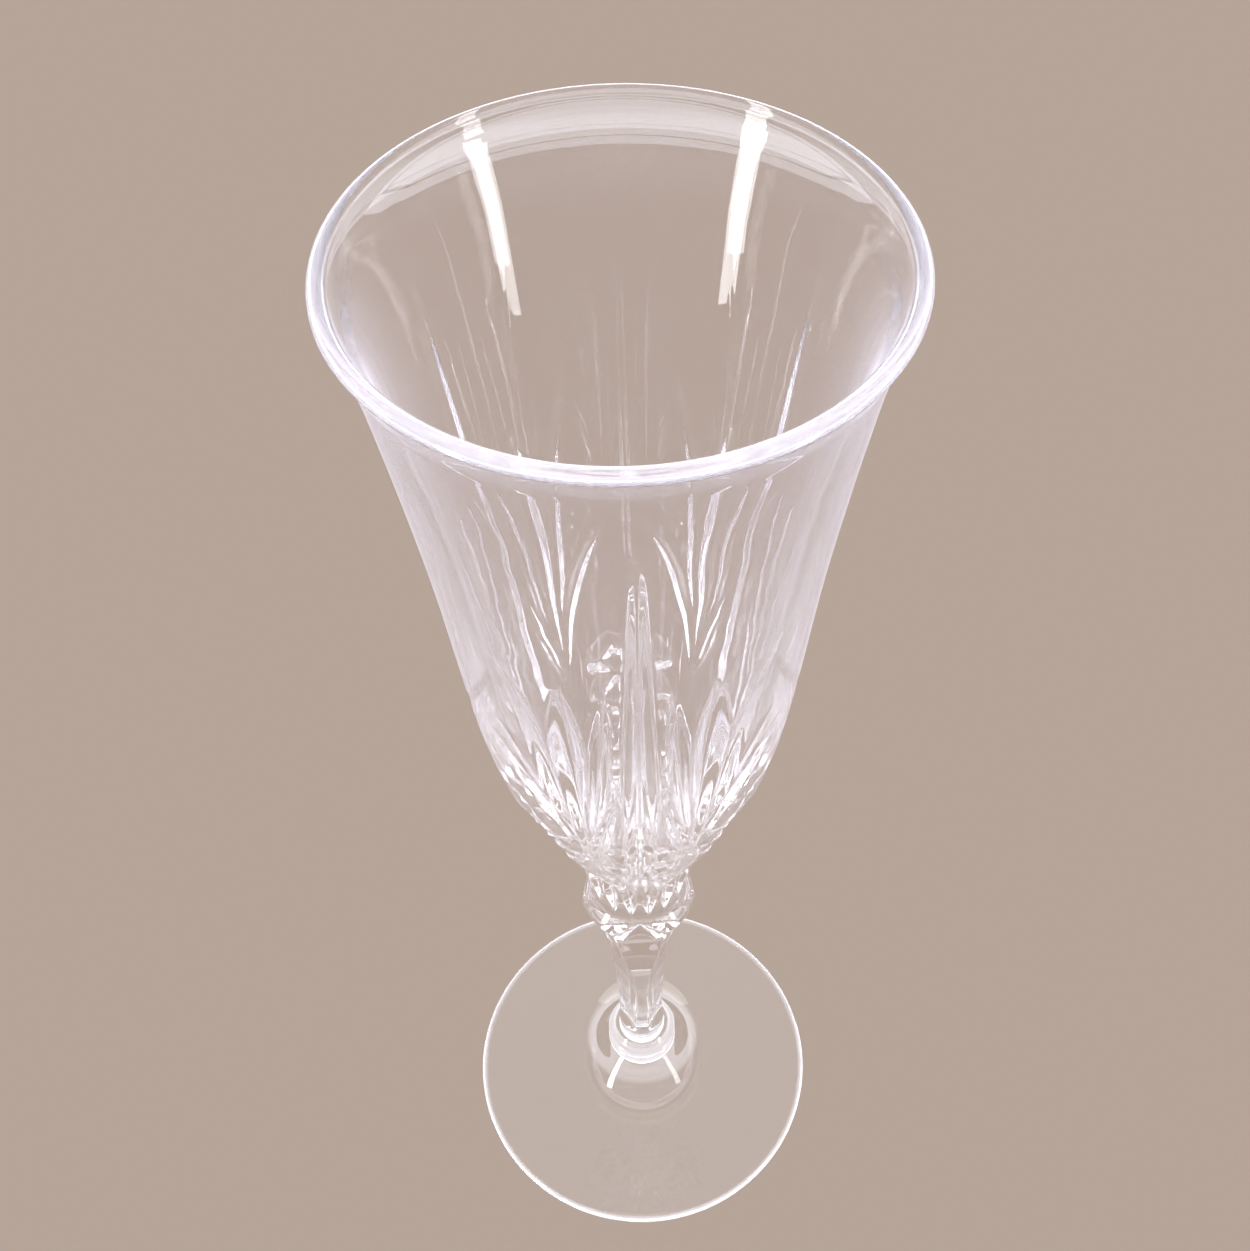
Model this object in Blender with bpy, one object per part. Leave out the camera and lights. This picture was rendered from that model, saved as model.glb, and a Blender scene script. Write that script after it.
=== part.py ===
"""A cut-crystal champagne flute: bowl, petal knop, stem, collar and foot, joined hot in the real glass.

Azimuth 0 is the front, -Y, and a positive azimuth turns towards +X. Lengths below are millimetres,
and MM turns them into metres. SEAL is the gap kept between two pieces where the glass is joined.
"""

import math

import bmesh
import bpy
from mathutils import Vector

MM = 0.001
HEIGHT = 195.0
SEAL = 0.3
TURN_STEPS = 60

RIM_RADIUS = 30.1
LIP_RADIUS = 1.0
KNOP_RADIUS = 9.2
NECK_RADIUS = 7.8
STEM_RADIUS = 4.0
COLLAR_RADIUS = 6.3
FOOT_RADIUS = 31.6
FOOT_EDGE = 0.9

BOWL_BOTTOM = 72.7
BOWL_FLOOR = 87.0
KNOP_BOTTOM = 61.2
STEM_BOTTOM = 21.2
COLLAR_BOTTOM = 12.2

# The pattern repeats three times round the glass, and starts a little right of the front.
REPEATS = 3
PATTERN_TURN = 1.5
FAN_OFFSET = 22.0
PANEL_HALF_WIDTH = 25.0
PANEL_TOP = 112.8
PANEL_BOTTOM = 89.0
DIAMOND_PITCH = 18.0
BASE_FLUTES = 18
V_SLOPE = 1.4
CUT_LIFT = 0.6
CUT_STEP = 5.5

# Heights and radii along each turned outline, from the bottom up.
BOWL_OUTER = [
    (BOWL_BOTTOM, NECK_RADIUS),
    (79.0, 8.3),
    (88.5, 10.7),
    (102.2, 15.75),
    (113.0, 18.8),
    (126.0, 21.0),
    (156.0, 23.7),
    (181.3, 26.8),
    (190.0, 28.4),
    (HEIGHT - LIP_RADIUS, RIM_RADIUS),
]
BOWL_INNER = [
    (BOWL_FLOOR + 1.6, 4.2),
    (93.0, 8.0),
    (102.2, 12.0),
    (113.0, 15.5),
    (126.0, 18.0),
    (156.0, 21.2),
    (181.3, 24.7),
    (190.0, 26.4),
    (HEIGHT - LIP_RADIUS, RIM_RADIUS - 2 * LIP_RADIUS),
]
STEM_OUTER = [
    (STEM_BOTTOM, STEM_RADIUS),
    (36.5, 4.6),
    (48.0, 5.3),
    (54.0, 5.65),
    (59.0, 6.0),
    (63.0, 6.7),
    (67.3, 8.3),
    (70.3, KNOP_RADIUS),
    (BOWL_BOTTOM, NECK_RADIUS),
]
FOOT_TOP = [
    (2 * FOOT_EDGE, FOOT_RADIUS - FOOT_EDGE),
    (3.3, 25.0),
    (5.0, 17.0),
    (7.6, 10.5),
    (COLLAR_BOTTOM, 5.9),
]


def clear_scene():
    for thing in list(bpy.data.objects):
        bpy.data.objects.remove(thing)


def glass(name, colour):
    """Clear lead crystal: each piece has its own faint tint."""
    material = bpy.data.materials.new(name)
    material.use_nodes = True
    shader = material.node_tree.nodes["Principled BSDF"]
    shader.inputs["Base Color"].default_value = (*colour, 1.0)
    shader.inputs["Roughness"].default_value = 0.02
    shader.inputs["Metallic"].default_value = 0.0
    shader.inputs["IOR"].default_value = 1.54
    shader.inputs["Transmission Weight"].default_value = 1.0
    return material


def slopes(points):
    """The slope of the smooth outline at each of its points."""
    inner = [
        (after[1] - before[1]) / (after[0] - before[0])
        for before, after in zip(points, points[2:])
    ]
    first = (points[1][1] - points[0][1]) / (points[1][0] - points[0][0])
    last = (points[-1][1] - points[-2][1]) / (points[-1][0] - points[-2][0])
    return [first, *inner, last]


def radius_at(points, height):
    """The radius of a smooth outline through the points, at one height."""
    slope = slopes(points)
    index = 0
    while index < len(points) - 2 and height > points[index + 1][0]:
        index += 1
    low, high = points[index], points[index + 1]
    span = high[0] - low[0]
    t = (height - low[0]) / span
    rise = high[1] - low[1]
    start = slope[index] * span
    end = slope[index + 1] * span
    return low[1] + start * t + (3 * rise - 2 * start - end) * t**2 + (start + end - 2 * rise) * t**3


def outline(points, bottom, top, count):
    """(radius, height) pairs of an outline, from top to bottom."""
    heights = [top + (bottom - top) * i / count for i in range(count + 1)]
    return [(radius_at(points, height), height) for height in heights]


def arc(centre, radius, start, end, count):
    """(radius, height) pairs along a round edge, with angles in degrees from outwards."""
    angles = [math.radians(start + (end - start) * i / count) for i in range(count + 1)]
    return [(centre[0] + radius * math.cos(a), centre[1] + radius * math.sin(a)) for a in angles]


def place(azimuth, radius, height):
    turn = math.radians(azimuth)
    return Vector((radius * math.sin(turn), -radius * math.cos(turn), height))


def turned(name, profile, material):
    """A solid of revolution about Z, from (radius, height) pairs that start and end on the axis."""
    mesh = bpy.data.meshes.new(name)
    points = [(radius * MM, 0.0, height * MM) for radius, height in profile]
    edges = [(i, i + 1) for i in range(len(points) - 1)]
    mesh.from_pydata(points, edges, [])
    mesh.materials.append(material)
    piece = bpy.data.objects.new(name, mesh)
    bpy.context.scene.collection.objects.link(piece)
    screw = piece.modifiers.new("Turn", "SCREW")
    screw.steps = TURN_STEPS
    screw.render_steps = TURN_STEPS
    screw.use_merge_vertices = True
    screw.merge_threshold = 0.00001
    screw.use_smooth_shade = True
    return piece


def solid(name, corners, faces, collection):
    """A closed cutter from its corners, in millimetres, put in its collection."""
    shape = bmesh.new()
    verts = [shape.verts.new(corner * MM) for corner in corners]
    for face in faces:
        shape.faces.new([verts[i] for i in face])
    bmesh.ops.recalc_face_normals(shape, faces=shape.faces)
    mesh = bpy.data.meshes.new(name)
    shape.to_mesh(mesh)
    shape.free()
    cutter = bpy.data.objects.new(name, mesh)
    collection.objects.link(cutter)
    cutter.hide_render = True
    cutter.display_type = "WIRE"


def cutter_group(name):
    group = bpy.data.collections.new(name)
    bpy.context.scene.collection.children.link(group)
    return group


def cut(piece, group):
    boolean = piece.modifiers.new(group.name, "BOOLEAN")
    boolean.operand_type = "COLLECTION"
    boolean.collection = group
    boolean.operation = "DIFFERENCE"
    boolean.solver = "EXACT"


def on_bowl(azimuth, height, depth):
    """A point at this depth under the bowl's outer face, and the way out of the glass there."""
    radius = radius_at(BOWL_OUTER, height)
    slope = radius_at(BOWL_OUTER, height + 0.1) - radius_at(BOWL_OUTER, height - 0.1)
    outward = (place(azimuth, 0.2, 0.0) - Vector((0.0, 0.0, slope))).normalized()
    return place(azimuth, radius, height) - outward * depth, outward


def along(stops, t):
    """A point on the smooth route through the stops, at t from 0 to 1."""
    last = len(stops) - 1
    index = min(int(t * last), last - 1)
    local = t * last - index
    before = stops[max(index - 1, 0)]
    start, end = stops[index], stops[index + 1]
    after = stops[min(index + 2, last)]
    return [
        0.5 * (2 * s + (e - b) * local + (2 * b - 5 * s + 4 * e - a) * local**2
               + (3 * s - b - 3 * e + a) * local**3)
        for b, s, e, a in zip(before, start, end, after)
    ]


def v_cut(name, stops, depth_at, group):
    """A V-shaped wheel cut along a route of (azimuth, height) stops on the bowl."""
    length = sum(
        (on_bowl(*a, 0.0)[0] - on_bowl(*b, 0.0)[0]).length for a, b in zip(stops, stops[1:])
    )
    count = max(4, round(length / CUT_STEP))
    route = [along(stops, i / count) for i in range(count + 1)]
    corners = []
    for i, (azimuth, height) in enumerate(route):
        depth = depth_at(i / count)
        foot, outward = on_bowl(azimuth, height, depth)
        before = on_bowl(*route[max(i - 1, 0)], 0.0)[0]
        after = on_bowl(*route[min(i + 1, count)], 0.0)[0]
        side = outward.cross(after - before).normalized()
        rise = depth + CUT_LIFT
        corners.append(foot)
        corners.append(foot + outward * rise + side * rise * V_SLOPE)
        corners.append(foot + outward * rise - side * rise * V_SLOPE)
    faces = [(0, 1, 2), (3 * count, 3 * count + 1, 3 * count + 2)]
    for i in range(count):
        for a, b in ((0, 1), (1, 2), (2, 0)):
            faces.append((3 * i + a, 3 * i + b, 3 * i + 3 + b, 3 * i + 3 + a))
    solid(name, corners, faces, group)


def leaf(depth, widest=0.5):
    """The depth along a leaf-shaped cut, which comes out of the glass at both ends."""
    def at(t):
        swell = t / widest if t < widest else (1 - t) / (1 - widest)
        return (depth + 0.25) * math.sin(swell * math.pi / 2) - 0.25
    return at


def long_mitres():
    group = cutter_group("long_mitres")
    for repeat in range(REPEATS):
        azimuth = PATTERN_TURN + 360 / REPEATS * repeat
        stops = [(azimuth, height) for height in (191.5, 165.0, 138.0, 112.0, 84.0)]
        v_cut(f"mitre_{repeat}", stops, leaf(1.35, 0.6), group)
    return group


def fans():
    """Two fans beside each long mitre: five curved rays spread up from one point."""
    rays = [
        ("centre", [(0, 107), (0, 123), (0, 139), (0, 156)], 1.05, 0.6),
        ("inner", [(0, 107), (6, 124), (11, 142), (21, 162)], 0.65, 0.4),
        ("arch", [(0, 107), (7, 118), (18, 128), (33, 138)], 0.7, 0.4),
        ("outer", [(0, 107), (-6, 124), (-10, 141), (-13.5, 158)], 0.6, 0.4),
        ("low", [(0, 107), (-5, 114), (-10, 122), (-15, 132)], 0.55, 0.4),
    ]
    groups = []
    for label, stops, depth, widest in rays:
        group = cutter_group(f"fan_{label}")
        for repeat in range(REPEATS):
            for side in (-1, 1):
                middle = PATTERN_TURN + 360 / REPEATS * repeat + side * FAN_OFFSET
                route = [(middle + side * across, height) for across, height in stops]
                v_cut(f"fan_{label}_{repeat}_{side}", route, leaf(depth, widest), group)
        groups.append(group)
    return groups


def diamond_route(start, side, middle):
    """The stops of one slanting cut across a panel, which keeps 45 degrees to the outline."""
    azimuth = start
    height = PANEL_TOP
    stops = []
    while height >= PANEL_BOTTOM:
        if abs(azimuth) <= PANEL_HALF_WIDTH:
            stops.append((middle + azimuth, height))
        radius = radius_at(BOWL_OUTER, height)
        slope = radius_at(BOWL_OUTER, height + 0.5) - radius_at(BOWL_OUTER, height - 0.5)
        azimuth += side * math.degrees(math.hypot(1.0, slope) / radius)
        height -= 1.0
    return stops


def diamond_panels():
    """Crossed slanting cuts leave rows of pointed diamonds on three panels between the fans."""
    groups = []
    for side in (-1, 1):
        group = cutter_group(f"diamonds_{'left' if side < 0 else 'right'}")
        for repeat in range(REPEATS):
            middle = PATTERN_TURN + 360 / REPEATS * (repeat + 0.5)
            for row in range(-2, 10):
                start = -side * DIAMOND_PITCH * (row + 0.5 + 0.07 * side)
                stops = diamond_route(start, side, middle)
                if len(stops) > 6:
                    chosen = [stops[0], stops[len(stops) // 2], stops[-1]]
                    v_cut(f"diamond_{side}_{repeat}_{row}", chosen, leaf(0.58 + 0.04 * side), group)
        groups.append(group)
    return groups


def base_flutes():
    """Short upright cuts where the bowl closes above its knop."""
    group = cutter_group("base_flutes")
    for flute in range(BASE_FLUTES):
        azimuth = PATTERN_TURN + 360 / BASE_FLUTES * (flute + 0.5)
        stops = [(azimuth, height) for height in (92.0, 86.0, 80.5, 75.0)]
        v_cut(f"flute_{flute}", stops, leaf(0.6), group)
    return group


def flat_cut(name, azimuth, profile, half_width, group):
    """A wide cut with a level axis: profile holds (distance from the axis, height) pairs."""
    outer = 14.0
    ring = [(distance, height) for distance, height in profile]
    ring += [(outer, profile[-1][1]), (outer, profile[0][1])]
    turn = math.radians(azimuth)
    outward = Vector((math.sin(turn), -math.cos(turn), 0.0))
    across = Vector((math.cos(turn), math.sin(turn), 0.0))
    corners = []
    for side in (-1, 1):
        for distance, height in ring:
            corners.append(outward * distance + across * side * half_width + Vector((0, 0, height)))
    count = len(ring)
    faces = [tuple(range(count)), tuple(range(count, 2 * count))]
    for i in range(count):
        j = (i + 1) % count
        faces.append((i, j, count + j, count + i))
    solid(name, corners, faces, group)


def run_out(height, start, wheel):
    """How far a wheel of this radius has lifted out of the glass, above the height where it starts to."""
    lean = min(max((height - start) / wheel, 0.0), 0.97)
    return wheel * (1 - math.sqrt(1 - lean**2))


def kite_distance(height):
    """How far a kite facet lies from the axis, up to where its wheel runs out."""
    return 4.8 + run_out(height, 62.0, 12.0)


def rail_distance(height):
    """How far a long facet between two kites lies from the axis: straight, then swept out to the knop."""
    return 2.9 + max(height - 34.0, 0.0) ** 2 / 220 + run_out(height, 52.0, 9.0)


def wheel_profile(distance_at, heights):
    return [(distance_at(height), height) for height in heights]


def stem_cuts():
    """Three kite facets under the mitres, and three long facets between them that climb to the knop."""
    kites = cutter_group("kite_facets")
    rails = cutter_group("rail_facets")
    kite = wheel_profile(kite_distance, (24.0, 62.0, 63.5, 65.0, 66.5, 68.0, 69.5, 71.0))
    rail = wheel_profile(rail_distance, (23.0, 34.0, 38.0, 42.0, 46.0, 50.0, 52.0, 54.0, 56.0, 58.0, 59.5))
    for repeat in range(REPEATS):
        azimuth = PATTERN_TURN + 360 / REPEATS * repeat
        flat_cut(f"kite_{repeat}", azimuth, kite, 10.0, kites)
        flat_cut(f"rail_{repeat}", azimuth + 60, rail, 6.0, rails)
    return kites, rails


def petal_cuts():
    """Three broad flats on the knop, over the kites, which leave its petals standing."""
    group = cutter_group("petal_flats")
    profile = [(5.3, 55.0), (5.9, 62.0), (6.4, 68.0), (6.9, 70.8), (8.0, 72.7)]
    for repeat in range(REPEATS):
        azimuth = PATTERN_TURN + 360 / REPEATS * repeat
        flat_cut(f"petal_{repeat}", azimuth, profile, 9.0, group)
    return group


def make_bowl():
    outside = outline(BOWL_OUTER, BOWL_BOTTOM + SEAL / 2, HEIGHT - LIP_RADIUS, 14)
    inside = outline(BOWL_INNER, BOWL_FLOOR + 1.6, HEIGHT - LIP_RADIUS, 9)
    lip = arc((RIM_RADIUS - LIP_RADIUS, HEIGHT - LIP_RADIUS), LIP_RADIUS, 180, 0, 4)
    floor = [(0.0, BOWL_FLOOR), (2.3, BOWL_FLOOR + 0.4)]
    profile = floor + inside[::-1] + lip[1:-1] + outside + [(0.0, BOWL_BOTTOM + SEAL / 2)]
    bowl = turned("bowl", profile, glass("bowl crystal", (0.97, 0.97, 1.0)))
    for group in [long_mitres(), *fans(), *diamond_panels(), base_flutes()]:
        cut(bowl, group)


def make_knop_and_stem():
    kites, rails = stem_cuts()
    petals = petal_cuts()
    top = BOWL_BOTTOM - SEAL / 2
    joint = KNOP_BOTTOM + SEAL / 2
    knop_outline = [(0.0, top), *outline(STEM_OUTER, joint, top, 9), (0.0, joint)]
    knop = turned("petal_knop", knop_outline, glass("knop crystal", (0.98, 0.97, 1.0)))
    top = KNOP_BOTTOM - SEAL / 2
    joint = STEM_BOTTOM + SEAL / 2
    stem_outline = [(0.0, top), *outline(STEM_OUTER, joint, top, 14), (0.0, joint)]
    stem = turned("stem", stem_outline, glass("stem crystal", (0.97, 0.98, 0.99)))
    cut(knop, petals)
    cut(knop, kites)
    for group in (petals, kites, rails):
        cut(stem, group)


def make_collar():
    top = STEM_BOTTOM - SEAL / 2
    bottom = COLLAR_BOTTOM + SEAL / 2
    throat = 3.0
    flare = arc((STEM_RADIUS + throat, top - 1.5), throat, 180, 255, 4)
    bead = arc((COLLAR_RADIUS - 1.2, bottom + 1.2), 1.2, 60, -90, 4)
    profile = [(0.0, top), (STEM_RADIUS, top), *flare, *bead, (0.0, bottom)]
    turned("stem_collar", profile, glass("collar crystal", (0.98, 0.98, 0.98)))


def make_foot():
    top = COLLAR_BOTTOM - SEAL / 2
    upper = outline(FOOT_TOP, 2 * FOOT_EDGE, top, 9)
    edge = arc((FOOT_RADIUS - FOOT_EDGE, FOOT_EDGE), FOOT_EDGE, 90, -60, 4)
    hollow = [(27.5, 0.0), (26.5, 0.35), (16.0, 1.3), (0.0, 1.9)]
    profile = [(0.0, top), *upper, *edge[1:], (FOOT_RADIUS - 1.3, 0.0), *hollow]
    turned("foot", profile, glass("foot crystal", (0.96, 0.98, 0.98)))


clear_scene()
make_bowl()
make_knop_and_stem()
make_collar()
make_foot()
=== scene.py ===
"""A cut-crystal champagne flute: five pieces of clear glass that meet face to face, on a pale floor.

Lengths are millimetres on a glass 195 mm tall, and MM turns them into the frame's metres. Azimuth 0
is the front, -Y, and a positive azimuth turns towards +X. Every surface is a grid of columns round
the axis and rows along an outline, and the wheel cuts are worked into the grid's radii.
"""

import math

import bpy
import numpy as np
from mathutils import Matrix, Vector


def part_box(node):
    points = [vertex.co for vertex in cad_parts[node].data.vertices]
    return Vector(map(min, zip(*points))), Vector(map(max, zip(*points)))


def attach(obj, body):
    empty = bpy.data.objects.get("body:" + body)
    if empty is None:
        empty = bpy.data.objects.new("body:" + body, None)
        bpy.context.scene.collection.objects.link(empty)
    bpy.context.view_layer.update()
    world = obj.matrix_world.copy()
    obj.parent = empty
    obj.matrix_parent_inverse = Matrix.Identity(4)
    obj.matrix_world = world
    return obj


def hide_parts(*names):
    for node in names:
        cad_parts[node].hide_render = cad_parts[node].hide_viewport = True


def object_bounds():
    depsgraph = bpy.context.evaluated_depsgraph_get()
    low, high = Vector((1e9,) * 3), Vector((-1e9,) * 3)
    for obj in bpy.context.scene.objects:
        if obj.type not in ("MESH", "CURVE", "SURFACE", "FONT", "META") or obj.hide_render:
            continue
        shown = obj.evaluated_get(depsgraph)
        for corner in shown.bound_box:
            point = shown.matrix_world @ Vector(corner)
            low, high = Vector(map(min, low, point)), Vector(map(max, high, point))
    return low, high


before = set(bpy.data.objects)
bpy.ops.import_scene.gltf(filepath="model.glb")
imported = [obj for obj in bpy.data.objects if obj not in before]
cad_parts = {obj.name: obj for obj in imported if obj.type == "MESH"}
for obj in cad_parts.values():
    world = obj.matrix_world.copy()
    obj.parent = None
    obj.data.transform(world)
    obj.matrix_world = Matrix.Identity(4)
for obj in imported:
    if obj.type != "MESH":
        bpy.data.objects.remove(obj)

CAD_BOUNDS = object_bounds()
HEIGHT = 195.0
MM = (CAD_BOUNDS[1].z - CAD_BOUNDS[0].z) / HEIGHT
SEAL = 0.3
COLUMNS = 480

RIM_RADIUS = 30.1
STEM_RADIUS = 4.0
LIP_RADIUS = 1.0
COLLAR_RADIUS = 6.3
COLLAR_BEAD = 1.2
COLLAR_THROAT = 3.0
FOOT_EDGE = 0.9
HOLLOW_RADIUS = 27.5
HOLLOW_DEPTH = 1.9
BOWL_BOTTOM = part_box("bowl")[0].z / MM - SEAL / 2
KNOP_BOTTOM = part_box("petal_knop")[0].z / MM - SEAL / 2
STEM_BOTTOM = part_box("stem")[0].z / MM - SEAL / 2
COLLAR_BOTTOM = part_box("stem_collar")[0].z / MM - SEAL / 2
FOOT_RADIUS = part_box("foot")[1].x / MM
BOWL_FLOOR = 87.0

REPEATS = 3
PATTERN_TURN = 1.5
FAN_OFFSET = 22.0
PANEL_HALF_WIDTH = 25.0
PANEL_TOP = 112.8
PANEL_BOTTOM = 82.0
DIAMOND_PITCH = 18.0
BASE_FLUTES = 18
ROUTE_STEP = 0.25
POLISH_PASSES = 2
EDGE_BAND = 0.18
CLEAR_OF_GLASS = 99.0
LEAST_LEAN = 0.2
KITE_BOTTOM = 24.0
RAIL_BOTTOM = 23.0
PETAL_BOTTOM = 55.0
VEIL_START = 105.0
VEIL_FULL = 140.0
SHEEN = 0.06
VEIL_SHEEN = 0.65

BOWL_OUTER = [
    (BOWL_BOTTOM, 7.8),
    (79.0, 8.3),
    (88.5, 10.7),
    (102.2, 15.75),
    (113.0, 18.8),
    (126.0, 21.0),
    (156.0, 23.7),
    (181.3, 26.8),
    (190.0, 28.4),
    (HEIGHT - LIP_RADIUS, RIM_RADIUS),
]
BOWL_INNER = [
    (BOWL_FLOOR + 1.6, 4.2),
    (93.0, 8.0),
    (102.2, 12.0),
    (113.0, 15.5),
    (126.0, 18.0),
    (156.0, 21.2),
    (181.3, 24.7),
    (190.0, 26.4),
    (HEIGHT - LIP_RADIUS, RIM_RADIUS - 2 * LIP_RADIUS),
]
STEM_OUTER = [
    (STEM_BOTTOM, STEM_RADIUS),
    (36.5, 4.6),
    (48.0, 5.3),
    (54.0, 5.65),
    (59.0, 6.0),
    (63.0, 6.7),
    (67.3, 8.3),
    (70.3, 9.2),
    (BOWL_BOTTOM, 7.8),
]
FOOT_TOP = [
    (2 * FOOT_EDGE, FOOT_RADIUS - FOOT_EDGE),
    (3.3, 25.0),
    (5.0, 17.0),
    (7.6, 10.5),
    (COLLAR_BOTTOM, 5.9),
]


def radius_at(points, heights):
    """The radii of a smooth outline through (height, radius) points."""
    z = np.array([point[0] for point in points])
    r = np.array([point[1] for point in points])
    slope = np.empty(len(points))
    slope[1:-1] = (r[2:] - r[:-2]) / (z[2:] - z[:-2])
    slope[0] = (r[1] - r[0]) / (z[1] - z[0])
    slope[-1] = (r[-1] - r[-2]) / (z[-1] - z[-2])
    heights = np.asarray(heights, float)
    low = np.clip(np.searchsorted(z, heights, side="right") - 1, 0, len(z) - 2)
    span = z[low + 1] - z[low]
    t = (heights - z[low]) / span
    rise = r[low + 1] - r[low]
    start = slope[low] * span
    end = slope[low + 1] * span
    return r[low] + start * t + (3 * rise - 2 * start - end) * t**2 + (start + end - 2 * rise) * t**3


def arc(centre, radius, start, end, count):
    """Rows of (radius, height) along a round edge, with angles in degrees from outwards."""
    angles = np.radians(np.linspace(start, end, count))
    return np.column_stack([centre[0] + radius * np.cos(angles), centre[1] + radius * np.sin(angles)])


def rows(points, bottom, top, step):
    """Rows of (radius, height) up a smooth outline."""
    heights = np.linspace(bottom, top, max(2, round((top - bottom) / step)))
    return np.column_stack([radius_at(points, heights), heights])


def column_azimuths():
    return np.arange(COLUMNS) * 360.0 / COLUMNS


# ---- the wheel cuts on the bowl -------------------------------------------------------------------


def along(stops, count):
    """Points on the smooth route through the stops."""
    stops = np.asarray(stops, float)
    last = len(stops) - 1
    t = np.linspace(0, last, count)
    index = np.minimum(t.astype(int), last - 1)
    local = (t - index)[:, None]
    before = stops[np.maximum(index - 1, 0)]
    start = stops[index]
    end = stops[index + 1]
    after = stops[np.minimum(index + 2, last)]
    return 0.5 * (
        2 * start
        + (end - before) * local
        + (2 * before - 5 * start + 4 * end - after) * local**2
        + (3 * start - before - 3 * end + after) * local**3
    )


def spear(depths):
    """How deep a cut is along its route, with straight runs between even steps."""
    return lambda t: np.interp(t, np.linspace(0, 1, len(depths)), depths)


def leaf(depth, widest=0.5, until=None):
    """How deep a leaf-shaped cut is along its route, from 0 to 1. It is deepest from widest to until."""
    until = widest if until is None else until

    def at(t):
        swell = np.minimum(np.minimum(t / widest, (1 - t) / (1 - until)), 1.0)
        return (depth + 0.25) * np.sin(swell * np.pi / 2) - 0.25

    return at


class CutField:
    """The depth of every wheel cut, on a grid of rows up the bowl's outer face by columns round it."""

    def __init__(self, outline):
        self.radii = outline[:, 0]
        self.heights = outline[:, 1]
        steps = np.hypot(np.diff(self.radii), np.diff(self.heights))
        self.lengths = np.concatenate([[0.0], np.cumsum(steps)])
        self.azimuths = column_azimuths()
        self.depth = np.full((len(outline), COLUMNS), -1.0)

    def wheel(self, stops, depth_at, v_slope):
        """Cuts one V-shaped groove along a route of (azimuth, height) stops.

        v_slope is half the groove's width over its depth: near 1 the sides turn light right round.
        """
        coarse = along(stops, 40)
        width = np.interp(coarse[:, 1], self.heights, self.radii)
        length = np.interp(coarse[:, 1], self.heights, self.lengths)
        runs = np.hypot(np.radians(np.diff(coarse[:, 0])) * width[1:], np.diff(length))
        count = max(12, int(runs.sum() / ROUTE_STEP))
        route = along(stops, count)
        depths = depth_at(np.linspace(0, 1, count))
        length = np.interp(route[:, 1], self.heights, self.lengths)
        reach = depths.max() * v_slope
        low, high = np.searchsorted(self.lengths, [length.min() - reach, length.max() + reach])
        chosen_rows = np.arange(low, min(high + 1, len(self.lengths)))
        middle = (route[:, 0].min() + route[:, 0].max()) / 2
        spread = (route[:, 0].max() - route[:, 0].min()) / 2
        spread += math.degrees(reach / self.radii[chosen_rows].min())
        offset = (self.azimuths - middle + 180) % 360 - 180
        chosen_columns = np.nonzero(np.abs(offset) <= spread)[0]
        if not len(chosen_rows) or not len(chosen_columns):
            return
        turn = offset[chosen_columns] + middle
        best = np.full((len(chosen_rows), len(chosen_columns)), -1e9)
        across = np.radians(turn[None, :] - route[:, :1])
        for step in range(count):
            side = across[step][None, :] * self.radii[chosen_rows][:, None]
            up = self.lengths[chosen_rows][:, None] - length[step]
            best = np.maximum(best, depths[step] - np.hypot(side, up) / v_slope)
        patch = np.ix_(chosen_rows, chosen_columns)
        self.depth[patch] = np.maximum(self.depth[patch], best)

    def polished(self):
        """The depth with the edges rounded a little, as an acid polish leaves them."""
        depth = np.maximum(self.depth, 0.0)
        for _ in range(POLISH_PASSES):
            depth = 0.25 * (np.roll(depth, 1, axis=1) + 2 * depth + np.roll(depth, -1, axis=1))
            depth[1:-1] = 0.25 * (depth[:-2] + 2 * depth[1:-1] + depth[2:])
        return depth

    def edges(self):
        """A band along the edge of every cut, from 0 to 1, where the glass is painted milky white as a
        painted highlight.
        """
        band = np.clip(1 - np.abs(self.depth - 0.05) / EDGE_BAND, 0, 1)
        return 0.25 * (np.roll(band, 1, axis=1) + 2 * band + np.roll(band, -1, axis=1))


def cut_mitres(field):
    for repeat in range(REPEATS):
        azimuth = PATTERN_TURN + 360 / REPEATS * repeat
        stops = [(azimuth, height) for height in (186.0, 160.0, 134.0, 108.0, 78.0)]
        field.wheel(stops, spear((-0.3, 0.4, 1.0, 1.35, 1.55, 1.65, 1.5, 0.9, -0.2)), 1.2)


def cut_fans(field):
    """Two fans beside each long mitre: curved rays spread up from one point."""
    rays = [
        ([(0, 107), (0, 123), (0, 139), (0, 156)], 1.75, 0.6, 1.3),
        ([(0, 107), (6, 124), (11, 142), (21, 162)], 1.1, 0.5, 1.0),
        ([(0, 107), (7, 118), (18, 128), (33, 138)], 1.2, 0.5, 1.0),
        ([(0, 107), (-6, 124), (-10, 141), (-13.5, 158)], 1.1, 0.5, 1.0),
        ([(0, 107), (-5, 114), (-10, 122), (-15, 132)], 1.0, 0.5, 1.0),
    ]
    for repeat in range(REPEATS):
        for side in (-1, 1):
            middle = PATTERN_TURN + 360 / REPEATS * repeat + side * FAN_OFFSET
            for stops, depth, widest, v_slope in rays:
                route = [(middle + side * across, height) for across, height in stops]
                field.wheel(route, leaf(depth, widest), v_slope)


def diamond_route(start, side, middle, field):
    """The stops of one slanting cut across a panel, which keeps 45 degrees to the outline."""
    azimuth = start
    height = PANEL_TOP
    stops = []
    while height >= PANEL_BOTTOM:
        if abs(azimuth) <= PANEL_HALF_WIDTH:
            stops.append((middle + azimuth, height))
        radius, above, below = np.interp(
            [height, height + 0.5, height - 0.5], field.heights, field.radii
        )
        azimuth += side * math.degrees(math.hypot(1.0, above - below) / radius)
        height -= 1.0
    return stops


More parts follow.
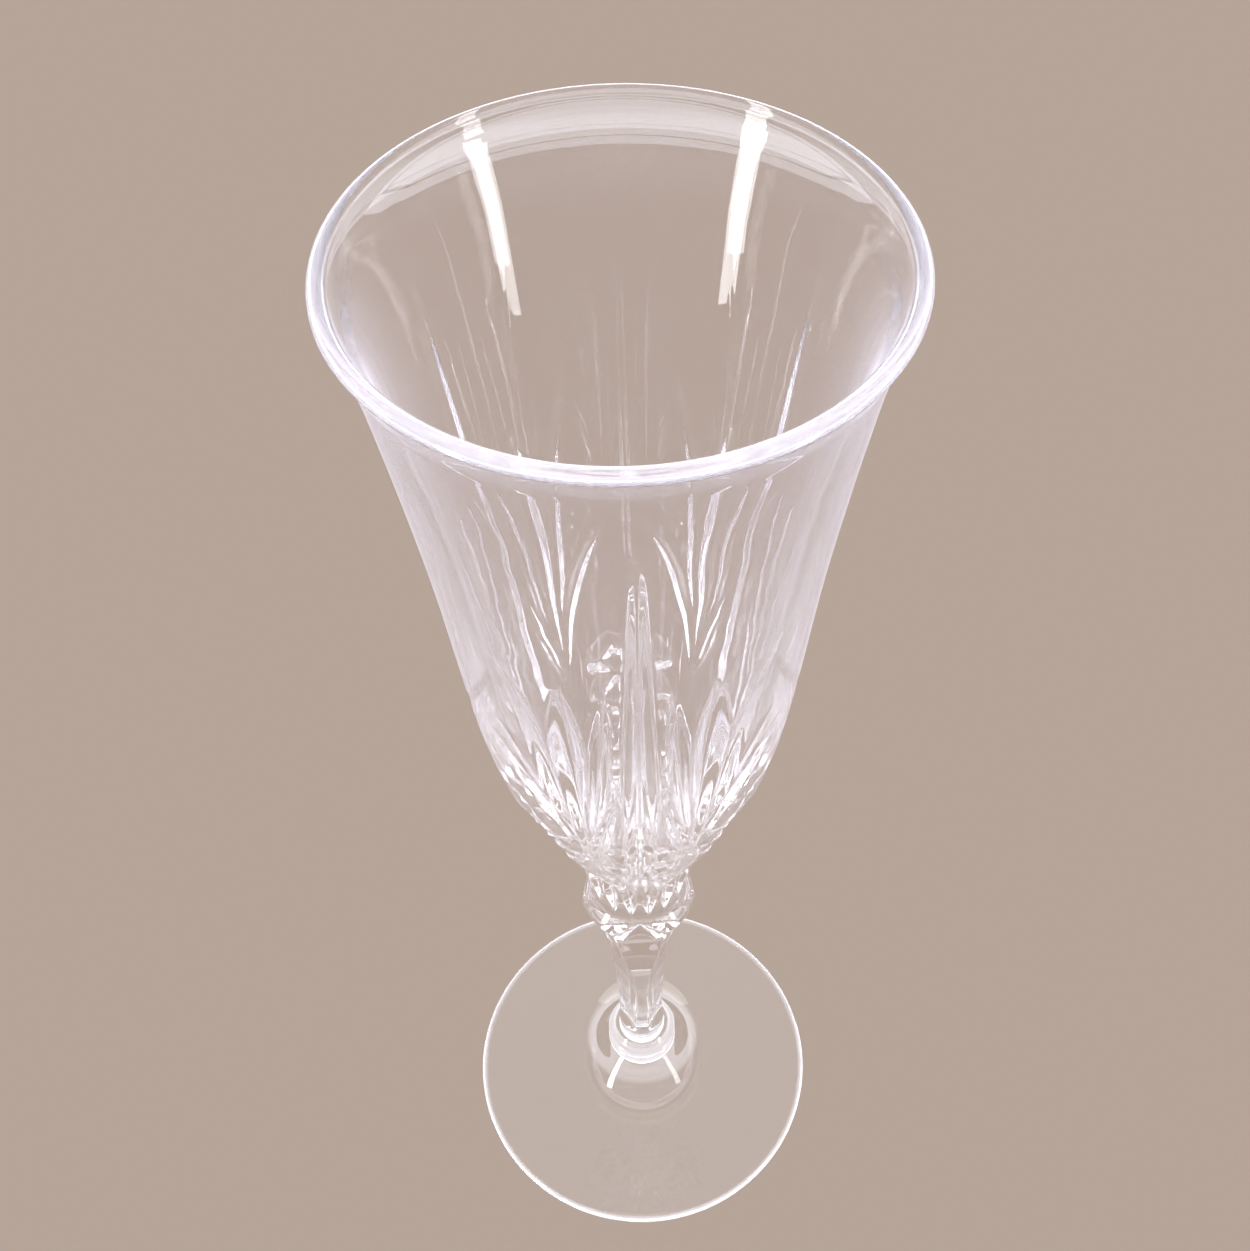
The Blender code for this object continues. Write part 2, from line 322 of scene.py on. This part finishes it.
def cut_diamonds(field):
    """Crossed slanting cuts leave rows of pointed diamonds on the panels between the fans."""
    for repeat in range(REPEATS):
        middle = PATTERN_TURN + 360 / REPEATS * (repeat + 0.5)
        for side in (-1, 1):
            for row in range(-2, 12):
                stops = diamond_route(-side * DIAMOND_PITCH * (row + 0.5), side, middle, field)
                if len(stops) > 4:
                    route = [stops[0], stops[len(stops) // 2], stops[-1]]
                    field.wheel(route, leaf(1.8, 0.25, 0.75), 1.15)


def cut_base_flutes(field):
    for flute in range(BASE_FLUTES):
        azimuth = PATTERN_TURN + 360 / BASE_FLUTES * (flute + 0.5)
        field.wheel([(azimuth, height) for height in (97.0, 89.0, 81.5, 74.5)], leaf(1.2), 1.15)


# ---- the flats on the stem and knop ---------------------------------------------------------------


def run_out(heights, start, wheel):
    """How far a wheel of this radius has lifted out of the glass, above the height where it starts to."""
    lean = np.clip((heights - start) / wheel, 0, 0.97)
    return wheel * (1 - np.sqrt(1 - lean**2))


def kite_distance(heights, across):
    """How far a kite facet lies from the axis, up to its pitched roof."""
    distance = 4.8 + run_out(heights + 0.8 * np.abs(across), 64.0, 12.0)
    return np.where(heights > KITE_BOTTOM, distance, CLEAR_OF_GLASS)


def rail_distance(heights):
    """How far a long facet between two kites lies from the axis: straight, then swept out to the knop."""
    sweep = np.maximum(heights - 34.0, 0.0) ** 2 / 220
    distance = 2.9 + sweep + run_out(heights, 52.0, 9.0)
    return np.where(heights > RAIL_BOTTOM, distance, CLEAR_OF_GLASS)


def petal_distance(heights):
    """How far the broad flats on the knop lie from the axis, from the stem up to the bowl."""
    distance = np.interp(heights, [55.0, 62.0, 68.0, 70.8, 72.7], [5.3, 5.9, 6.4, 6.9, 8.0])
    return np.where(heights > PETAL_BOTTOM, distance, CLEAR_OF_GLASS)


def faceted(outline):
    """The radii of the stem and knop with their flats ground in, and a band along the flats' edges, where
    the glass is painted milky white as a painted highlight.
    """
    heights = outline[:, 1][:, None]
    radii = np.repeat(outline[:, 0][:, None], COLUMNS, axis=1)
    azimuths = column_azimuths()[None, :]
    faces = [radii]
    for repeat in range(REPEATS):
        azimuth = PATTERN_TURN + 360 / REPEATS * repeat
        across = radii * np.sin(np.radians(azimuths - azimuth))
        flats = [
            (0, kite_distance(heights, across)),
            (60, rail_distance(heights)),
            (0, petal_distance(heights)),
        ]
        for turn, distance in flats:
            lean = np.cos(np.radians(azimuths - azimuth - turn))
            reach = distance / np.maximum(lean, LEAST_LEAN)
            faces.append(np.where(lean > LEAST_LEAN, reach, CLEAR_OF_GLASS))
    faces = np.sort(np.array(faces), axis=0)
    return faces[0], np.clip(1 - (faces[1] - faces[0]) / EDGE_BAND, 0, 1)


# ---- meshes and materials -------------------------------------------------------------------------


def grid_piece(name, radii, heights, closed_top, closed_bottom, material, seal, painted_highlight_mask=None):
    """A closed body from rows of radii, with its end rows filled by a point on the axis.

    The rows run so that the faces point out. An end that meets its neighbour gets the seal
    material, which lets light straight through, because the real glass has no surface there.
    """
    azimuths = np.radians(column_azimuths())[None, :]
    heights = np.broadcast_to(np.asarray(heights, float).reshape(len(radii), -1), radii.shape)
    x = radii * np.sin(azimuths)
    y = -radii * np.cos(azimuths)
    points = np.stack([x, y, heights], axis=-1).reshape(-1, 3)
    row_count = len(radii)
    first = (np.arange(row_count - 1)[:, None] * COLUMNS + np.arange(COLUMNS)[None, :]).ravel()
    right = (np.arange(row_count - 1)[:, None] * COLUMNS + (np.arange(COLUMNS) + 1) % COLUMNS).ravel()
    quads = np.column_stack([first, right, right + COLUMNS, first + COLUMNS])
    low_centre = (0.0, 0.0, heights[0].mean())
    high_centre = (0.0, 0.0, heights[-1].mean())
    points = np.vstack([points, [low_centre, high_centre]])
    ring = np.arange(COLUMNS)
    after = (ring + 1) % COLUMNS
    last = (row_count - 1) * COLUMNS
    low_fan = np.column_stack([after, ring, np.full(COLUMNS, len(points) - 2)])
    high_fan = np.column_stack([last + ring, last + after, np.full(COLUMNS, len(points) - 1)])

    mesh = bpy.data.meshes.new(name)
    mesh.vertices.add(len(points))
    mesh.vertices.foreach_set("co", (points * MM).ravel())
    loops = np.concatenate([quads.ravel(), low_fan.ravel(), high_fan.ravel()])
    mesh.loops.add(len(loops))
    mesh.loops.foreach_set("vertex_index", loops)
    sizes = np.concatenate([np.full(len(quads), 4), np.full(2 * COLUMNS, 3)])
    mesh.polygons.add(len(sizes))
    mesh.polygons.foreach_set("loop_start", np.concatenate([[0], np.cumsum(sizes)[:-1]]))
    mesh.polygons.foreach_set("use_smooth", np.ones(len(sizes), bool))
    slots = np.zeros(len(sizes), int)
    slots[len(quads):len(quads) + COLUMNS] = int(closed_bottom == "seal")
    slots[len(quads) + COLUMNS:] = int(closed_top == "seal")
    mesh.materials.append(material)
    mesh.materials.append(seal)
    mesh.polygons.foreach_set("material_index", slots)
    mesh.update(calc_edges=True)
    mesh.validate()
    sharp_ends(mesh, closed_bottom == "seal", closed_top == "seal", last)
    # The painted highlight mask goes on every point as an attribute; the glass material turns milky white
    # where it is 1.
    painted_highlight = np.zeros(len(points))
    if painted_highlight_mask is not None:
        painted_highlight[:painted_highlight_mask.size] = painted_highlight_mask.ravel()
    mesh.attributes.new("painted_highlight_mask", "FLOAT", "POINT").data.foreach_set("value", painted_highlight)
    piece = bpy.data.objects.new(name, mesh)
    bpy.context.scene.collection.objects.link(piece)
    return piece


def sharp_ends(mesh, low, high, last):
    """Keeps the shading of a side apart from the flat seal at its end."""
    edges = np.empty(len(mesh.edges) * 2, int)
    mesh.edges.foreach_get("vertices", edges)
    edges = edges.reshape(-1, 2)
    on_low = (edges < COLUMNS).all(axis=1) & low
    on_high = ((edges >= last) & (edges < last + COLUMNS)).all(axis=1) & high
    sharp = mesh.attributes.new("sharp_edge", "BOOLEAN", "EDGE")
    sharp.data.foreach_set("value", on_low | on_high)


def add_veil(material):
    """A sheen that grows up the bowl, above the cuts."""
    nodes = material.node_tree.nodes
    links = material.node_tree.links
    place = nodes.new("ShaderNodeTexCoord")
    split = nodes.new("ShaderNodeSeparateXYZ")
    veil = nodes.new("ShaderNodeMapRange")
    veil.inputs["From Min"].default_value = VEIL_START * MM
    veil.inputs["From Max"].default_value = VEIL_FULL * MM
    veil.inputs["To Min"].default_value = SHEEN
    veil.inputs["To Max"].default_value = VEIL_SHEEN
    links.new(place.outputs["Object"], split.inputs["Vector"])
    links.new(split.outputs["Z"], veil.inputs["Value"])
    links.new(veil.outputs["Result"], nodes["Principled BSDF"].inputs["Sheen Weight"])
    return material


def crystal(name, tint, wave, smear, painted_highlight):
    """Polished lead crystal: faint waves left by the fire and the felt, and a few dull smears.

    The fourth argument is how milky white the glass turns where the mesh's edge mask attribute is 1, such
    as a cut's edge. That whiteness is painted highlight: it stands in for the glints that light leaves
    along the edges.
    """
    material = bpy.data.materials.new(name)
    material.use_nodes = True
    nodes = material.node_tree.nodes
    links = material.node_tree.links
    shader = nodes["Principled BSDF"]
    shader.inputs["Metallic"].default_value = 0.0
    shader.inputs["IOR"].default_value = 1.54
    shader.inputs["Sheen Weight"].default_value = SHEEN
    shader.inputs["Sheen Roughness"].default_value = 0.35
    shader.inputs["Sheen Tint"].default_value = (0.93, 0.91, 1.0, 1.0)
    place = nodes.new("ShaderNodeTexCoord")

    tone = nodes.new("ShaderNodeTexNoise")
    tone.inputs["Scale"].default_value = 28.0
    tone.inputs["Detail"].default_value = 2.0
    ramp = nodes.new("ShaderNodeValToRGB")
    ramp.color_ramp.elements[0].color = (*tint, 1.0)
    ramp.color_ramp.elements[1].color = (1.0, 0.995, 1.0, 1.0)
    links.new(place.outputs["Object"], tone.inputs["Vector"])
    links.new(tone.outputs["Fac"], ramp.inputs["Fac"])
    links.new(ramp.outputs["Color"], shader.inputs["Base Color"])

    smudge = nodes.new("ShaderNodeTexNoise")
    smudge.inputs["Scale"].default_value = 70.0
    smudge.inputs["Detail"].default_value = 5.0
    smudge.inputs["Roughness"].default_value = 0.6
    smear_and_painted_highlight = nodes.new("ShaderNodeMapRange")
    smear_and_painted_highlight.inputs["From Min"].default_value = 0.5
    smear_and_painted_highlight.inputs["From Max"].default_value = 0.8
    smear_and_painted_highlight.inputs["To Min"].default_value = 0.0
    smear_and_painted_highlight.inputs["To Max"].default_value = smear
    links.new(place.outputs["Object"], smudge.inputs["Vector"])
    links.new(smudge.outputs["Fac"], smear_and_painted_highlight.inputs["Value"])

    # The painted highlight mask from the mesh: 1 along the edges of the cuts and flats.
    painted_highlight_mask = nodes.new("ShaderNodeAttribute")
    painted_highlight_mask.attribute_name = "painted_highlight_mask"
    matt = nodes.new("ShaderNodeMath")
    matt.operation = "MULTIPLY_ADD"
    matt.inputs[1].default_value = 0.12
    links.new(painted_highlight_mask.outputs["Fac"], matt.inputs[0])
    links.new(smear_and_painted_highlight.outputs["Result"], matt.inputs[2])
    links.new(matt.outputs["Value"], shader.inputs["Roughness"])
    # Painted highlight: where the mask is 1 the glass gives up some clearness and goes milky white, in
    # place of the glints along the edges.
    clear = nodes.new("ShaderNodeMath")
    clear.operation = "MULTIPLY_ADD"
    clear.inputs[1].default_value = -painted_highlight
    clear.inputs[2].default_value = 1.0
    links.new(painted_highlight_mask.outputs["Fac"], clear.inputs[0])
    links.new(clear.outputs["Value"], shader.inputs["Transmission Weight"])

    ripple = nodes.new("ShaderNodeTexNoise")
    ripple.inputs["Scale"].default_value = 110.0
    ripple.inputs["Detail"].default_value = 1.0
    bump = nodes.new("ShaderNodeBump")
    bump.inputs["Strength"].default_value = wave
    bump.inputs["Distance"].default_value = 0.0002
    links.new(place.outputs["Object"], ripple.inputs["Vector"])
    links.new(ripple.outputs["Fac"], bump.inputs["Height"])
    links.new(bump.outputs["Normal"], shader.inputs["Normal"])
    return material


def seal_material():
    """The joint inside the glass: nothing is there to see, so light goes straight through."""
    material = bpy.data.materials.new("hot seal")
    material.use_nodes = True
    nodes = material.node_tree.nodes
    nodes.remove(nodes["Principled BSDF"])
    clear = nodes.new("ShaderNodeBsdfTransparent")
    material.node_tree.links.new(clear.outputs["BSDF"], nodes["Material Output"].inputs["Surface"])
    return material


# ---- the pieces -----------------------------------------------------------------------------------


def finish_piece(piece, node):
    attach(piece, "root")
    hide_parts(node)
    piece.visible_diffuse = False


def make_bowl(material, seal):
    outside = rows(BOWL_OUTER, BOWL_BOTTOM, HEIGHT - LIP_RADIUS, 0.36)
    field = CutField(outside)
    cut_mitres(field)
    cut_fans(field)
    cut_diamonds(field)
    cut_base_flutes(field)
    slope = np.gradient(outside[:, 0], outside[:, 1])
    lean = 1 / np.hypot(1.0, slope)
    depth = field.polished()
    radii = outside[:, 0][:, None] - depth * lean[:, None]
    heights = outside[:, 1][:, None] + depth * (lean * slope)[:, None]
    lip = arc((RIM_RADIUS - LIP_RADIUS, HEIGHT - LIP_RADIUS), LIP_RADIUS, 0, 180, 14)[1:-1]
    inside = rows(BOWL_INNER, BOWL_FLOOR + 1.6, HEIGHT - LIP_RADIUS, 1.1)[::-1]
    floor = np.column_stack([[3.3, 2.2, 1.1, 0.3], BOWL_FLOOR + np.array([0.95, 0.42, 0.1, 0.01])])
    smooth = np.vstack([lip, inside, floor])
    radii = np.vstack([radii, np.repeat(smooth[:, :1], COLUMNS, axis=1)])
    heights = np.vstack([heights, np.repeat(smooth[:, 1:], COLUMNS, axis=1)])
    edges = field.edges()
    bowl = grid_piece("crystal_bowl", radii, heights, "glass", "seal", material, seal, edges)
    finish_piece(bowl, "bowl")


def make_knop_and_stem(material, seal):
    knop = rows(STEM_OUTER, KNOP_BOTTOM, BOWL_BOTTOM, 0.25)
    radii, edges = faceted(knop)
    piece = grid_piece("crystal_knop", radii, knop[:, 1], "seal", "seal", material, seal, edges)
    finish_piece(piece, "petal_knop")
    stem = rows(STEM_OUTER, STEM_BOTTOM, KNOP_BOTTOM, 0.3)
    radii, edges = faceted(stem)
    piece = grid_piece("crystal_stem", radii, stem[:, 1], "seal", "seal", material, seal, edges)
    finish_piece(piece, "stem")


def make_collar(material, seal):
    bead_centre = (COLLAR_RADIUS - COLLAR_BEAD, COLLAR_BOTTOM + COLLAR_BEAD)
    bead = arc(bead_centre, COLLAR_BEAD, -48, 60, 12)
    flare = arc((STEM_RADIUS + COLLAR_THROAT, STEM_BOTTOM - 1.5), COLLAR_THROAT, 255, 180, 12)
    outline = np.vstack([[(5.9, COLLAR_BOTTOM)], bead, flare, [(STEM_RADIUS, STEM_BOTTOM)]])
    radii = np.repeat(outline[:, :1], COLUMNS, axis=1)
    # Painted highlight: the outer bead goes milky white to stand in for the bright band that light makes
    # round the collar.
    smear_and_painted_highlight = np.clip((radii - 4.5) / 0.7, 0, 1)
    piece = grid_piece("crystal_collar", radii, outline[:, 1], "seal", "seal", material, seal, smear_and_painted_highlight)
    finish_piece(piece, "stem_collar")


def make_foot(material, seal):
    across = np.linspace(1.0, HOLLOW_RADIUS, 28)
    hollow = np.column_stack([across, HOLLOW_DEPTH * (1 - (across / HOLLOW_RADIUS) ** 2)])
    edge = arc((FOOT_RADIUS - FOOT_EDGE, FOOT_EDGE), FOOT_EDGE, -60, 90, 12)
    top = rows(FOOT_TOP, 2 * FOOT_EDGE, COLLAR_BOTTOM, 0.2)[1:]
    outline = np.vstack([hollow, [(FOOT_RADIUS - 1.3, 0.0)], edge, top])
    radii = np.repeat(outline[:, :1], COLUMNS, axis=1)
    # Painted highlight: the rounded edge of the foot goes milky white to stand in for the bright line
    # that light makes along it.
    smear_and_painted_highlight = np.clip((radii - FOOT_RADIUS + 0.8) / 0.5, 0, 1)
    piece = grid_piece("crystal_foot", radii, outline[:, 1], "seal", "glass", material, seal, smear_and_painted_highlight)
    finish_piece(piece, "foot")
    piece.visible_shadow = False


# ---- floor, light and camera ----------------------------------------------------------------------


def make_floor():
    mesh = bpy.data.meshes.new("floor")
    size = 3.0
    corners = [(-size, -size, 0), (size, -size, 0), (size, size, 0), (-size, size, 0)]
    mesh.from_pydata(corners, [], [(0, 1, 2, 3)])
    floor = bpy.data.objects.new("floor", mesh)
    bpy.context.scene.collection.objects.link(floor)
    material = bpy.data.materials.new("pale floor")
    material.use_nodes = True
    shader = material.node_tree.nodes["Principled BSDF"]
    shader.inputs["Base Color"].default_value = (0.33, 0.265, 0.21, 1.0)
    shader.inputs["Roughness"].default_value = 0.7
    shader.inputs["Specular IOR Level"].default_value = 0.0
    mesh.materials.append(material)
    floor.location.z = -0.00002


def softbox(name, azimuth, elevation, distance, width, height, power):
    """A soft light panel that faces the middle of the glass."""
    data = bpy.data.lights.new(name, "AREA")
    data.shape = "RECTANGLE"
    data.size = width
    data.size_y = height
    data.energy = power
    lamp = bpy.data.objects.new(name, data)
    bpy.context.scene.collection.objects.link(lamp)
    turn = math.radians(azimuth)
    rise = math.radians(elevation)
    way = Vector((math.sin(turn) * math.cos(rise), -math.cos(turn) * math.cos(rise), math.sin(rise)))
    lamp.location = Vector((0, 0, 110 * MM)) + way * distance
    lamp.rotation_mode = "QUATERNION"
    lamp.rotation_quaternion = way.to_track_quat("Z", "Y")
    lamp.visible_camera = False
    lamp.visible_diffuse = False


def make_light():
    """Two narrow panels in front and a wide one behind, out of view, under a sky brightest low down.

    The panels show only in the glass. The camera sees an even backdrop in place of the sky.
    """
    softbox("left panel", -56, 6, 0.33, 0.05, 0.28, 0.8)
    softbox("right panel", 58, 4, 0.33, 0.045, 0.26, 0.3)
    softbox("back panel", 178, 14, 0.9, 0.9, 0.25, 1.5)
    world = bpy.data.worlds.new("studio")
    bpy.context.scene.world = world
    world.cycles.sampling_method = "NONE"
    world.use_nodes = True
    nodes = world.node_tree.nodes
    links = world.node_tree.links
    place = nodes.new("ShaderNodeTexCoord")
    split = nodes.new("ShaderNodeSeparateXYZ")
    links.new(place.outputs["Generated"], split.inputs["Vector"])

    height = nodes.new("ShaderNodeMapRange")
    height.interpolation_type = "SMOOTHSTEP"
    height.inputs["From Min"].default_value = 0.22
    height.inputs["From Max"].default_value = 0.42
    links.new(split.outputs["Z"], height.inputs["Value"])
    sky = nodes.new("ShaderNodeMix")
    sky.data_type = "RGBA"
    sky.inputs["A"].default_value = (1.9, 1.95, 2.15, 1.0)
    sky.inputs["B"].default_value = (0.5, 0.49, 0.52, 1.0)
    links.new(height.outputs["Result"], sky.inputs["Factor"])
    path = nodes.new("ShaderNodeLightPath")
    backdrop = nodes.new("ShaderNodeMix")
    backdrop.data_type = "RGBA"
    backdrop.inputs["B"].default_value = (0.4, 0.395, 0.4, 1.0)
    links.new(path.outputs["Is Camera Ray"], backdrop.inputs["Factor"])
    links.new(sky.outputs["Result"], backdrop.inputs["A"])
    background = nodes["Background"]
    links.new(backdrop.outputs["Result"], background.inputs["Color"])
    background.inputs["Strength"].default_value = 2.2
    bpy.context.scene.view_settings.view_transform = "Standard"


def make_camera():
    data = bpy.data.cameras.new("camera")
    data.sensor_width = 36.0
    data.lens = 42.83
    data.shift_x = -0.02145
    data.shift_y = 0.0022
    data.clip_start = 0.01
    camera = bpy.data.objects.new("camera", data)
    bpy.context.scene.collection.objects.link(camera)
    yaw = math.radians(1.3016)
    pitch = math.radians(51.438)
    roll = math.radians(-0.5834)
    ahead = Vector((math.sin(yaw) * math.cos(pitch), math.cos(yaw) * math.cos(pitch), -math.sin(pitch)))
    level = Vector((math.cos(yaw), -math.sin(yaw), 0.0))
    up = level.cross(ahead)
    right = level * math.cos(roll) + up * math.sin(roll)
    top = up * math.cos(roll) - level * math.sin(roll)
    turn = Matrix((right, top, -ahead)).transposed()
    camera.matrix_world = Matrix.Translation(Vector((0.0, -117.25, 284.17)) * MM) @ turn.to_4x4()
    bpy.context.scene.camera = camera


def main():
    seal = seal_material()
    # The last argument of crystal is the painted highlight: how milky white each piece goes along its
    # edges.
    bowl_crystal = crystal("bowl crystal", (0.965, 0.965, 1.0), 0.12, 0.05, 0.05)
    make_bowl(add_veil(bowl_crystal), seal)
    make_knop_and_stem(crystal("stem crystal", (0.97, 0.97, 1.0), 0.08, 0.04, 0.1), seal)
    make_collar(crystal("collar crystal", (0.975, 0.98, 1.0), 0.08, 0.04, 0.3), seal)
    make_foot(crystal("foot crystal", (0.98, 0.985, 0.99), 0.15, 0.06, 0.35), seal)
    make_floor()
    make_light()
    make_camera()
    cycles = bpy.context.scene.cycles
    cycles.max_bounces = 64
    cycles.transmission_bounces = 64
    cycles.transparent_max_bounces = 32
    cycles.glossy_bounces = 48


main()
